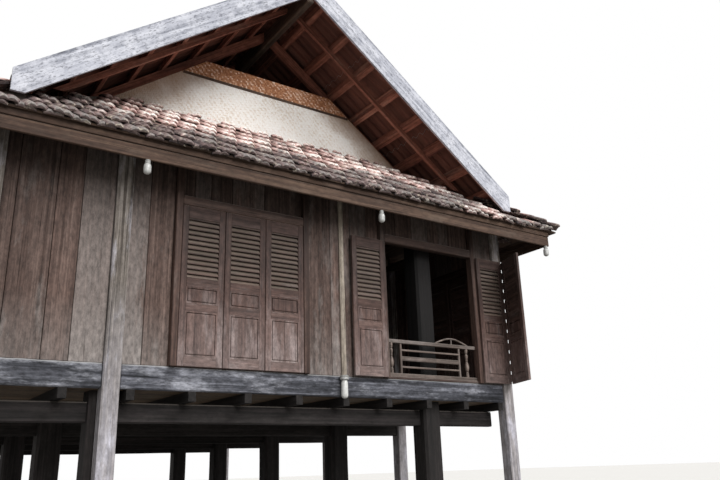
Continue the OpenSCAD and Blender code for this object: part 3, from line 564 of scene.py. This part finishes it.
# Shutters, as the CAD leaves: shares of a leaf's height, then metres. A tongue reaches into the frame
# round a part, and a leaf whose box is thicker than FLAT stands open.
LOUVRES = (0.54, 0.92)
SMALL_PANEL = (0.38, 0.48)
LARGE_PANEL = (0.06, 0.33)
STILE = 0.07
SLATS = 12
SLAT_T = 0.012
SLAT_IN = 0.003
TONGUE = 0.001
PANEL_TONGUE = 0.002
LEAF_GAP = 0.002
FLAT = 0.1
SWING = math.radians(69)
HINGES = 12
HINGE_GAP = 0.0003
BARREL = [(0.006, 0), (0.008, 0.01), (0.008, 0.09), (0.006, 0.1)]
# Darkest and palest tint of a leaf's frame and panels, and of its slats
LEAF_TINTS = (0.0, 0.4)
SLAT_TINTS = (0.0, 0.45)
# Panel from its rim to its field: metres in from the rim, and shares of half the leaf's thickness out
PANEL_IN = np.array([0.0, 0.016, 0.017, 0.024, 0.025, 0.036])
PANEL_OUT = np.array([0.92, 0.92, 0.10, 0.10, 0.84, 0.94])


def fielded(x0, x1, z0, z1, depth):
    """Panel with a planted moulding: six nested rectangles on each face, from the flat rim beside the
    frame down into a narrow groove and up a low bevel to the flat field, front and back alike."""
    inward = np.array([[1, 1], [-1, 1], [-1, -1], [1, -1]])
    rim = np.array([[x0, z0], [x1, z0], [x1, z1], [x0, z1]])
    flat = rim + PANEL_IN[:, None, None] * inward
    out = np.broadcast_to(-(PANEL_OUT * depth / 2)[:, None, None], flat[:, :, :1].shape)
    front = np.concatenate([flat[:, :, :1], out, flat[:, :, 1:]], -1)
    points = np.concatenate([front[::-1], front * [1, -1, 1]]).reshape(-1, 3)
    points[:, 1] -= depth / 2
    grain = points + rng.uniform(0, GRAIN_SPREAD, 3)
    polygons = tubes(2 * len(PANEL_IN), 4, turned_round=True)
    return points, polygons, grain, np.full(len(points), rng.uniform(*LEAF_TINTS))


def shaded(shape, darkest, palest):
    """The same shape with its tints brought between two values."""
    return (*shape[:3], darkest + (palest - darkest) * shape[3])


def leaf(width, height, depth):
    """Louvred shutter leaf, hung from its lower left back corner: two stiles, four rails, two fielded
    panels, and slats that lean back as they rise and lap past each other."""
    z = [0, *(f * height for f in (*LARGE_PANEL, *SMALL_PANEL, *LOUVRES)), height]
    left, right = STILE - TONGUE, width - STILE + TONGUE
    low = [[LEAF_GAP, -depth, 0], [width - STILE, -depth, 0]]
    high = [[STILE, 0, height], [width - LEAF_GAP, 0, height]]
    for i in range(0, 8, 2):
        low.append([left, -depth + TONGUE, z[i]])
        high.append([right, -TONGUE, z[i + 1]])
    parts = [shaded(timbers(low, high, edge=0.0035), *LEAF_TINTS)]
    for bottom, top in (LARGE_PANEL, SMALL_PANEL):
        parts.append(fielded(STILE - PANEL_TONGUE, width - STILE + PANEL_TONGUE,
                             bottom * height - PANEL_TONGUE, top * height + PANEL_TONGUE, depth))
    step = (LOUVRES[1] - LOUVRES[0]) * height / SLATS
    lean = step - 0.3 * SLAT_T
    start = LOUVRES[0] * height + step * (np.arange(SLATS + 1) - 0.4)
    slats = timbers([[left, SLAT_IN - depth, foot] for foot in start],
                    [[right, -SLAT_IN, foot + SLAT_T] for foot in start], edge=0.003)
    slats[0][:, 2] += lean * (slats[0][:, 1] + depth - SLAT_IN) / (depth - 2 * SLAT_IN)
    return join([*parts, shaded(slats, *SLAT_TINTS)])


def hang(shape, low, high, outward):
    """Turns a leaf to face outward and puts it into the box from low to high."""
    points, polygons, grain, tint = shape
    n = np.array(outward)
    across = np.array([-n[1], n[0]])
    middle = (low + high) / 2
    width = abs((high - low)[:2] @ across)
    depth = abs((high - low)[:2] @ n)
    flat = middle[:2] + across * (points[:, :1] - width / 2) - n * (points[:, 1:2] + depth / 2)
    return np.concatenate([flat, points[:, 2:] + low[2]], 1), polygons, grain, tint


def swing_out(shape, width, hinge):
    """Turns a leaf about its right back edge by SWING, from folded flat over its neighbour, and puts
    that edge at the hinge."""
    points, polygons, grain, tint = shape
    x, y = points[:, 0] - width, points[:, 1]
    c, s = math.cos(SWING), math.sin(SWING)
    return np.stack([x * c - y * s, x * s + y * c, points[:, 2]], -1) + hinge, polygons, grain, tint


def shutters(node):
    """Dressed leaves in the places of a CAD node's leaves. A leaf whose box is thick stands off the
    wall, on a row of hinge barrels at the outer right edge of the flat leaf beside it."""
    low, high = solids(node)
    size = high - low
    flat = size[:, :2].min(1) < FLAT
    made = []
    for lo, hi in zip(low[flat], high[flat]):
        wide = hi - lo
        end_wall = wide[0] > wide[1]
        outward = (0, np.sign(lo[1])) if end_wall else (np.sign(lo[0]), 0)
        made.append(hang(leaf(max(wide[:2]), wide[2], min(wide[:2])), lo, hi, outward))
    if not flat.all():
        beside = np.flatnonzero(flat)[high[flat][:, 0].argmax()]
        width, depth, height = size[beside]
        hinge = np.array([high[beside][0] + HINGE_GAP, low[beside][1] - HINGE_GAP, low[beside][2]])
        made.append(swing_out(leaf(width, height, depth), width, hinge))
        places = hinge + np.outer((np.arange(HINGES) + 0.2) * height / HINGES, [0, 0, 1])
        made.append(shaded(turned(BARREL, places, 8), 0, 0))
    piece(node + "_leaves", join(made), shutter_wood, "shutter_wood", node)


for name in ("front_closed_shutters", "front_open_shutters", "back_shutters", "side_shutters"):
    shutters(name)

# Balustrade of the open window: distances from its left and right ends, and heights, in metres
RAIL_H = 0.465
RAIL_T = 0.045
BAR_T = 0.022
MID_BAR_H = 0.056
UPRIGHT_W = 0.026
UPRIGHT_TONGUE = 0.002
TURNED_IN = (0.080, 0.155)
UPRIGHT_IN = (0.230, 0.290)
CREST_IN = (0.810, 0.130)
CREST_H = 0.075
CREST_T = 0.022
# Spindle under the crest: radius and height in metres
SPINDLE = [(0.006, -0.004), (0.010, 0.01), (0.006, 0.02), (0.010, 0.04), (0.006, CREST_H)]
# Turned baluster with beads and a vase: radius in millimetres at shares of its height
BALUSTER = np.array([
    (22, 0.0), (22, 0.10), (17, 0.11), (23, 0.14), (16, 0.16), (12, 0.19), (18, 0.22), (28, 0.30),
    (30, 0.38), (23, 0.46), (14, 0.54), (12, 0.57), (18, 0.60), (13, 0.63), (20, 0.70), (23, 0.77),
    (16, 0.80), (12, 0.83), (21, 0.86), (16, 0.89), (22, 0.90), (22, 1.0)])


def crest(x0, x1, y, z, rows=24):
    """Curved rail: a round section of eight sides carried along half a sine wave from x0 to x1."""
    t = np.linspace(0, 1, rows)
    angle = np.arange(8) * np.pi / 4
    rise = CREST_H * np.sin(np.pi * t)
    tilt = np.arctan2(CREST_H * np.pi * np.cos(np.pi * t), x1 - x0)
    out = CREST_T / 2 * np.sin(angle)
    points = np.stack([
        x0 + (x1 - x0) * t[:, None] - out * np.sin(tilt)[:, None],
        np.broadcast_to(y + UPRIGHT_W / 2 * np.cos(angle), (rows, 8)),
        z + rise[:, None] + out * np.cos(tilt)[:, None]], -1).reshape(-1, 3)
    return points, tubes(rows, 8), points[:, [1, 2, 0]], np.full(len(points), 0.7)


def balustrade():
    """Rails, uprights and bars as timbers, turned balusters with beads and a vase, and the crest."""
    (x0, y0, z0), (x1, y1, _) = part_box("window_balustrade")
    y = (y0 + y1) / 2
    top = z0 + RAIL_H - RAIL_T
    inner = (x0 + UPRIGHT_IN[0], x1 - UPRIGHT_IN[1])
    boxes = [(x0, x1, z, z + RAIL_T, RAIL_T) for z in (z0, top)]
    half, foot = UPRIGHT_W / 2, z0 + RAIL_T - UPRIGHT_TONGUE
    for x in inner:
        boxes.append((x - half, x + half, foot, top + UPRIGHT_TONGUE, UPRIGHT_W))
    for i, tall in ((1, BAR_T), (2, MID_BAR_H), (3, BAR_T)):
        z = z0 + RAIL_T / 2 + i * (RAIL_H - RAIL_T) / 4
        boxes.append((*inner, z - tall / 2, z + tall / 2, BAR_T))
    left, right, bottom, head, deep = np.array(boxes).T
    lows = np.stack([left, y - deep / 2, bottom], -1)
    highs = np.stack([right, y + deep / 2, head], -1)
    balusters = turned(BALUSTER * [1 / 1000, RAIL_H - 2 * RAIL_T],
                       [[x, y, z0 + RAIL_T] for x in (x0 + TURNED_IN[0], x1 - TURNED_IN[1])])
    crest_x = (x0 + CREST_IN[0], x1 - CREST_IN[1])
    crest_z = z0 + RAIL_H
    spindle = turned(SPINDLE, [[sum(crest_x) / 2, y, crest_z]], 10)
    shapes = [timbers(lows, highs, edge=0.004), balusters, crest(*crest_x, y, crest_z), spindle]
    piece("window_balustrade_turned", join(shapes), rail_wood, "rail_wood", "window_balustrade",
          smooth=35)


balustrade()

# Lamps: one taller than TUBE_H is the long one. Cap's radius and height, and radius of the glass
TUBE_H = 0.2
TUBE = (0.052, 0.050, 0.040)
BULB = (0.028, 0.040, 0.038)
DOME_H = 0.035
# Ribs of a cap: shares of its radius, and metres below its top
RIBS = [(1, 0.030), (0.93, 0.024), (1, 0.018), (0.93, 0.014), (1, 0.010), (0.9, 0.002), (0.5, 0)]


def lamps():
    """Turned lamps in the places of the CAD lamps: a ribbed cap, or a wide collar on the long one, then
    glass that swells from the neck, runs straight and closes in a dome."""
    made = []
    for low, high in zip(*solids("lamps")):
        size = high - low
        place = [[(low[0] + high[0]) / 2, (low[1] + high[1]) / 2, high[2]]]
        tube = size[2] > TUBE_H
        cap_r, cap_h, r = TUBE if tube else BULB
        length = size[2] - cap_h
        ribs = [(cap_r * share, -down) for share, down in RIBS]
        cap = turned([(cap_r * 0.6, -cap_h), (cap_r, -cap_h), *ribs], place)
        t = np.linspace(0, np.pi / 2, 6)
        dome = [(r * math.cos(a) + 0.001, -size[2] + DOME_H * (1 - math.sin(a))) for a in t[::-1]]
        glass = turned([*dome, (r, -cap_h - 0.2 * length), (r * 0.85, -cap_h - 0.08 * length),
                        (r * 0.6, -cap_h + 0.001)], place)
        white = 1.0 if tube else 0.5
        made += [shaded(cap, 0, 0), shaded(glass, white, white)]
    piece("lamps_turned", join(made), lamp_white, "lamp_white", "lamps", smooth=40)


lamps()

# Tiles, in metres: spacing across and up the slope, length, width, thickness, arch of the back and of
# the underside, how deep a tile lies and how far its lower end is lifted
TILE_PITCH = 0.24
TILE_STEP = 0.235
TILE_LONG = 0.32
TILE_W = 0.236
TILE_T = 0.024
TILE_ARCH = 0.032
UNDER_ARCH = 0.010
TILE_SINK = -0.068
TILE_TILT = 0.050
# How far the lowest course hangs over the eaves line, and how far the course under it lies below it
EAVES_OVER = 0.012
EAVES_DROP = 0.032
# Sections across a tile: shares of half its width, of the arch in a tile with two lobes and in one
# with a single arch, and how much painted shade darkens the valleys
ACROSS = np.array([-1, -0.8, -0.5, -0.2, 0, 0.2, 0.5, 0.8, 1])
TWO_LOBES = np.array([0, 0.5, 1, 0.85, 0.45, 0.85, 1, 0.5, 0])
ONE_ARCH = np.array([0, 0.45, 0.8, 0.97, 1, 0.97, 0.8, 0.45, 0])
VALLEY_SHADE = np.array([-0.9, -0.3, 0, -0.05, -0.4, -0.05, 0, -0.3, -0.9])
# Outline of each section: shares of the length up the slope, of the thickness out and of the width,
# and the change of tint, a painted highlight on the lower lip and painted shade under it and under
# the laps
LINES_UP = np.array([0.02, 0.0, 0.05, 0.22, 1.0, 1.0])
LINES_OUT = np.array([-1.0, -0.7, 0.0, 0.0, 0.0, -0.6])
TIP = np.array([0.76, 0.76, 0.78, 1.0, 0.97, 0.97])
LIP_LIGHT_AND_SHADE = np.array([-0.5, 0.3, 0.35, 0.05, -0.8, -1.0])
# How much tiles stray: across, up and out in metres, then skew and roll
STRAY = np.array([0.005, 0.011, 0.004, 0.03, 0.006])
# Cover tiles of the hips; the lowest hangs over the eaves
HIP_OVER = 0.01
HIP_STEP = 0.2
HIP_W = 0.21
HIP_ARCH = 0.045
HIP_SINK = -0.035
# How far a tile's middle may lie past a hip or over the lower edge of a barge board
OVERLAP = 0.02
# Boarding: its thickness, how far it stays in from the eaves, and the share of TILE_V at its underside
BOARDING_T = 0.02
BOARDING_IN = 0.01
BOARDING_DEEP = 0.96


def main_under(x):
    """Height of the lower edge of the barge boards over a point of the plan."""
    return RIDGE_Z - BARGE_V - MAIN_PITCH * np.abs(x)


def tile_field(across, up, width, arch, profile, sink):
    """Tiles in the plane of a slope: across along the eaves, up the slope from them, out square to it.
    A tile is its outline, of lower edge, back, upper edge and underside, swept across: profile times
    arch is how far a section stands out, and TIP times width its width, narrower at the lower end,
    which is lifted, because each course lies on the one below. Every tile strays a little."""
    count = len(across)
    s = ACROSS[:, None]
    rise = profile[:, None] * np.array([UNDER_ARCH, arch, arch, arch, arch, UNDER_ARCH])
    stray = rng.normal(0, 1, (count, 5, 1, 1)) * STRAY[:, None, None]
    shift, slip, lift, skew, roll = np.moveaxis(stray, 1, 0)
    lines = np.broadcast_to(LINES_UP * TILE_LONG, (count, len(ACROSS), len(LINES_UP)))
    a = across[:, None, None] + s * width / 2 * TIP + shift + skew * lines
    u = up[:, None, None] + lines + slip
    o = sink + lift + rise + LINES_OUT * TILE_T + TILE_TILT * (1 - lines / TILE_LONG) + roll * s
    return np.stack(np.broadcast_arrays(a, u, o), -1)


def laid(grid, corner, along, slope_up, normal):
    """Shape of the tiles whose points are given in the plane of a slope, each a closed tube from side
    to side. Each has its own tint, with a painted highlight on its lower lip and painted shade under
    the lip, under the laps and in the valleys."""
    count, rows, ring = grid.shape[:3]
    points = corner + grid[..., :1] * along + grid[..., 1:2] * slope_up + grid[..., 2:] * normal
    points = points.reshape(-1, 3)
    # Own tone of each tile, plus painted highlight on the lower lips and painted shade under the laps
    # and in the valleys
    tint = rng.normal(0.65, 0.27, (count, 1, 1)) + LIP_LIGHT_AND_SHADE + VALLEY_SHADE[:, None]
    return points, tubes(rows, ring, count, True), points.copy(), np.clip(tint, 0, 1).ravel()


def tiled(corner, along, slope_up, run, columns, inside):
    """Tiles on a slope: each course starts a third of a tile beside the one below, and a second one
    lies under the lowest. The eaves line starts at corner and goes along, the slope is run long, and
    inside says, by the place of its middle, whether a tile is kept."""
    courses = math.ceil(run / TILE_STEP)
    c, k = np.meshgrid(np.arange(columns + 1), np.arange(-1, courses), indexing="ij")
    c, k = c.ravel(), k.ravel()
    across = (c + k % 3 / 3) * TILE_PITCH
    up = np.maximum(k, 0) * TILE_STEP - EAVES_OVER
    grid = tile_field(across, up, TILE_W, TILE_ARCH, TWO_LOBES, TILE_SINK)
    grid[k < 0, ..., 2] -= EAVES_DROP
    middle = grid.mean((1, 2))
    grid = grid[inside(corner + middle[:, :1] * along + middle[:, 1:2] * slope_up)]
    grid[..., 1] = np.minimum(grid[..., 1], run)
    return laid(grid, corner, along, slope_up, np.cross(along, slope_up))


def front_inside(p):
    """Within the hips, and below the edge of the main roof where that passes over."""
    hip = (EAVE_Y - np.abs(p[:, 1])) * FRONT_PITCH / SIDE_PITCH
    under = (np.abs(p[:, 1]) > VERGE_Y) | (p[:, 2] < main_under(p[:, 0]) + OVERLAP)
    return (np.abs(p[:, 0]) < np.minimum(EAVE_X, EAVE_X - hip + OVERLAP).clip(SKIRT_IN)) & under


def side_inside(p):
    """Within the hips of a side skirt."""
    hip = (EAVE_X - np.abs(p[:, 0])) * SIDE_PITCH / FRONT_PITCH
    return np.abs(p[:, 1]) < EAVE_Y - hip + OVERLAP


def boarding(corner, along, slope_up, outline, depth):
    """Thin close boarding under the tiles: the outline in the plane of the slope, thickened outward
    from depth below it."""
    normal = np.cross(along, slope_up)
    flat = np.array([corner + a * along + u * slope_up for a, u in outline])
    n = len(outline)
    points = np.concatenate([flat - normal * depth, flat - normal * (depth - BOARDING_T)])
    grain = np.stack([points @ slope_up, points @ normal, points @ along], -1)
    return points, tubes(2, n), grain, np.full(2 * n, 0.4)


def skirt(name, turn_z, half_width, reach, pitch, inner, outline, inside):
    """One skirt roof: tiles and the boarding under them, as at the front and turned by turn_z about the
    middle of the house. outline holds half widths and distances in from the eaves."""
    slope = math.atan(pitch)
    c, s = round(math.cos(turn_z)), round(math.sin(turn_z))
    turn = np.array([[c, -s, 0], [s, c, 0], [0, 0, 1]], float)
    corner = turn @ np.array([-half_width, -reach, EAVE_Z])
    along = turn @ np.array([1.0, 0, 0])
    up = turn @ np.array([0, math.cos(slope), math.sin(slope)])
    run = (reach - inner) / math.cos(slope)
    piece(name + "_tiles", tiled(corner, along, up, run, int(2 * half_width / TILE_PITCH) + 1, inside),
          tile_clay, "roof_tile", name, smooth=40)
    right = [(half_width + w, d / math.cos(slope)) for w, d in outline]
    left = [(half_width - w, d / math.cos(slope)) for w, d in reversed(outline)]
    boards = boarding(corner, along, up, right + left, BOARDING_DEEP * TILE_V * math.cos(slope))
    piece(name + "_boarding", boards, close_boards, "roof_timber")


HIP_RUN = (EAVE_X - SKIRT_IN) * SIDE_PITCH / FRONT_PITCH
# The boarding of the front skirt ends where the underside of the main roof meets it
TOP_X = (main_under(0) - (EAVE_Z + FRONT_PITCH * (EAVE_Y - GABLE_Y) - TILE_V)) / MAIN_PITCH
HIP_X = (main_under(0) - (EAVE_Z + FRONT_PITCH * HIP_RUN - TILE_V)) / MAIN_PITCH
front_outline = [(EAVE_X - BOARDING_IN, BOARDING_IN), (SKIRT_IN, HIP_RUN), (HIP_X, HIP_RUN),
                 (TOP_X, EAVE_Y - GABLE_Y)]
side_outline = [(EAVE_Y - BOARDING_IN, BOARDING_IN), (EAVE_Y - HIP_RUN, EAVE_X - SKIRT_IN)]
for name, turn_z in (("front_skirt_roof", 0.0), ("back_skirt_roof", math.pi)):
    skirt(name, turn_z, EAVE_X, EAVE_Y, FRONT_PITCH, GABLE_Y, front_outline, front_inside)
for name, turn_z in (("right_skirt_roof", math.pi / 2), ("left_skirt_roof", -math.pi / 2)):
    skirt(name, turn_z, EAVE_Y, EAVE_X, SIDE_PITCH, SKIRT_IN, side_outline, side_inside)


def hip_tiles():
    """Cover tiles up the four hips, each over the one below, in the plane that the hip line and a level
    line across it span."""
    fields = []
    for sx, sy in ((-1, -1), (-1, 1), (1, -1), (1, 1)):
        foot = np.array([sx * EAVE_X, sy * EAVE_Y, EAVE_Z])
        rise = np.array([-sx * (EAVE_X - SKIRT_IN), -sy * HIP_RUN, SIDE_PITCH * (EAVE_X - SKIRT_IN)])
        length = np.linalg.norm(rise)
        up = rise / length
        along = np.cross(up, [0, 0, 1.0])
        along /= np.linalg.norm(along)
        places = np.arange(0.0, length - HIP_STEP / 2, HIP_STEP) - HIP_OVER
        grid = tile_field(np.zeros(len(places)), places, HIP_W, HIP_ARCH, ONE_ARCH, HIP_SINK)
        fields.append(laid(grid, foot, along, up, np.cross(along, up)))
    piece("hip_cover_tiles", join(fields), tile_clay, "roof_tile", smooth=40)


hip_tiles()

# Roof sheets: waves, rows, laps, how far in the lowest row ends, and the lift of a sheet's two edges
WAVE_PITCH = 0.146
WAVES = 67
WAVE_POINTS = 8
WAVE_H = 0.038
SHEET_T = 0.007
SHEET_ROWS = 3
SHEET_LAP = 0.12
SHEET_IN = 0.01
SHEET_LIFT = np.array([-0.004, 0.002])


def sheet_rows(side):
    """Corrugated sheets of one slope: height is a cosine of the place along the ridge; three rows of
    sheets, each lapping over the one below by a hand's width."""
    end = VERGE_Y - BARGE_T
    share = np.linspace(0, 1, WAVES * WAVE_POINTS + 1)
    y = np.concatenate([[-end], (share - 0.5) * WAVES * WAVE_PITCH, [end]])
    wave = -WAVE_H / 2 * np.cos(2 * np.pi * np.concatenate([[0], share * WAVES, [WAVES]]))
    shapes = []
    edges = np.linspace(0, MAIN_X - SHEET_IN, SHEET_ROWS + 1)
    for x0, x1 in zip(edges[:-1], edges[1:]):
        x = np.repeat(np.array([max(0.0, x0 - SHEET_LAP), x1])[:, None], len(y), 1)
        raised = (wave + SHEET_LIFT[:, None]) / math.cos(MAIN_SLOPE)
        z = RIDGE_Z - MAIN_PITCH * x - SHEET_V / 2 + raised
        top = np.stack([side * x, np.broadcast_to(y, x.shape), z + SHEET_T / 2], -1)
        points = np.concatenate([top, (top - [0, 0, SHEET_T])[::-1]]).reshape(-1, 3)
        n = len(y)
        # Faces of the right slope run the other way round than those of the left one
        quads = (grid_quads(5, n) % (4 * n))[:, ::-side]
        rim = n * np.arange(4)
        rims = np.stack([rim, rim[::-1] + n - 1])[:, ::side]
        shapes.append((points, [quads, rims], points.copy(), np.full(len(points), 0.5)))
    return join(shapes)


for name, side in (("left", -1), ("right", 1)):
    piece(name + "_roof_sheets", sheet_rows(side), sheet_grey, "roof_sheet", name + "_main_roof",
          smooth=50)

# Strength of the sky, and each sun's strength and its degrees from upright and round
SKY = 0.62
SUNS = (("soft_sun", 1.7, 50, 24), ("low_fill", 1.3, 70, -6))
SUN_BREADTH = 25
# Camera: focal length in millimetres on a sensor 36 wide, its place, and its turns in degrees
LENS = 35.62
EYE = (-4.07, -11.59, 1.5)
YAW, PITCH, ROLL = 35.43, 18.02, -1.96


def stage_floor():
    """Pale floor. Light that it throws back is weaker than its colour, as on shaded ground."""
    bpy.ops.mesh.primitive_plane_add(size=900, location=(0, 0, -0.001))
    floor = bpy.context.object
    floor.name = "stage_floor"
    material, add = new_material("pale_floor", 0.95)
    seen = add("LightPath").outputs["Is Camera Ray"]
    colour = add("MixRGB", [seen, linear("#8f8d89"), linear("#e6e4e0")])
    floor.data.materials.append(finished(material, add, colour))


def light_and_air():
    """A soft even sky, white where the camera, a gloss or glass sees it, a broad soft sun, and a weak
    one that reaches under the eaves from low in front."""
    world = bpy.data.worlds.new("studio")
    scene.world = world
    world.use_nodes = True
    tree = world.node_tree
    add = adder(tree)
    rays = add("LightPath").outputs
    seen = add("Math", [rays["Is Camera Ray"], rays["Is Glossy Ray"]], operation="MAXIMUM")
    seen = add("Math", [seen, rays["Is Transmission Ray"]], operation="MAXIMUM")
    background = tree.nodes["Background"]
    tree.links.new(add("MapRange", [seen, 0, 1, SKY, 1]).outputs[0], background.inputs["Strength"])
    background.inputs["Color"].default_value = (1, 1, 1, 1)
    for name, energy, tilt, turn in SUNS:
        data = bpy.data.lights.new(name, "SUN")
        data.energy = energy
        data.angle = math.radians(SUN_BREADTH)
        lamp = bpy.data.objects.new(name, data)
        lamp.rotation_euler = (math.radians(tilt), 0, math.radians(turn))
        scene.collection.objects.link(lamp)


def camera():
    """The photograph's view: low in front of the left corner, looking up at the house."""
    data = bpy.data.cameras.new("camera")
    data.sensor_width = 36
    data.lens = LENS
    data.clip_end = 1200
    yaw, pitch, roll = (math.radians(a) for a in (YAW, PITCH, ROLL))
    thing = bpy.data.objects.new("camera", data)
    thing.matrix_world = (
        Matrix.Translation(EYE) @ Matrix.Rotation(-yaw, 4, "Z")
        @ Matrix.Rotation(math.pi / 2 + pitch, 4, "X") @ Matrix.Rotation(roll, 4, "Z"))
    scene.collection.objects.link(thing)
    scene.camera = thing


stage_floor()
light_and_air()
camera()
scene.view_settings.view_transform = "Standard"
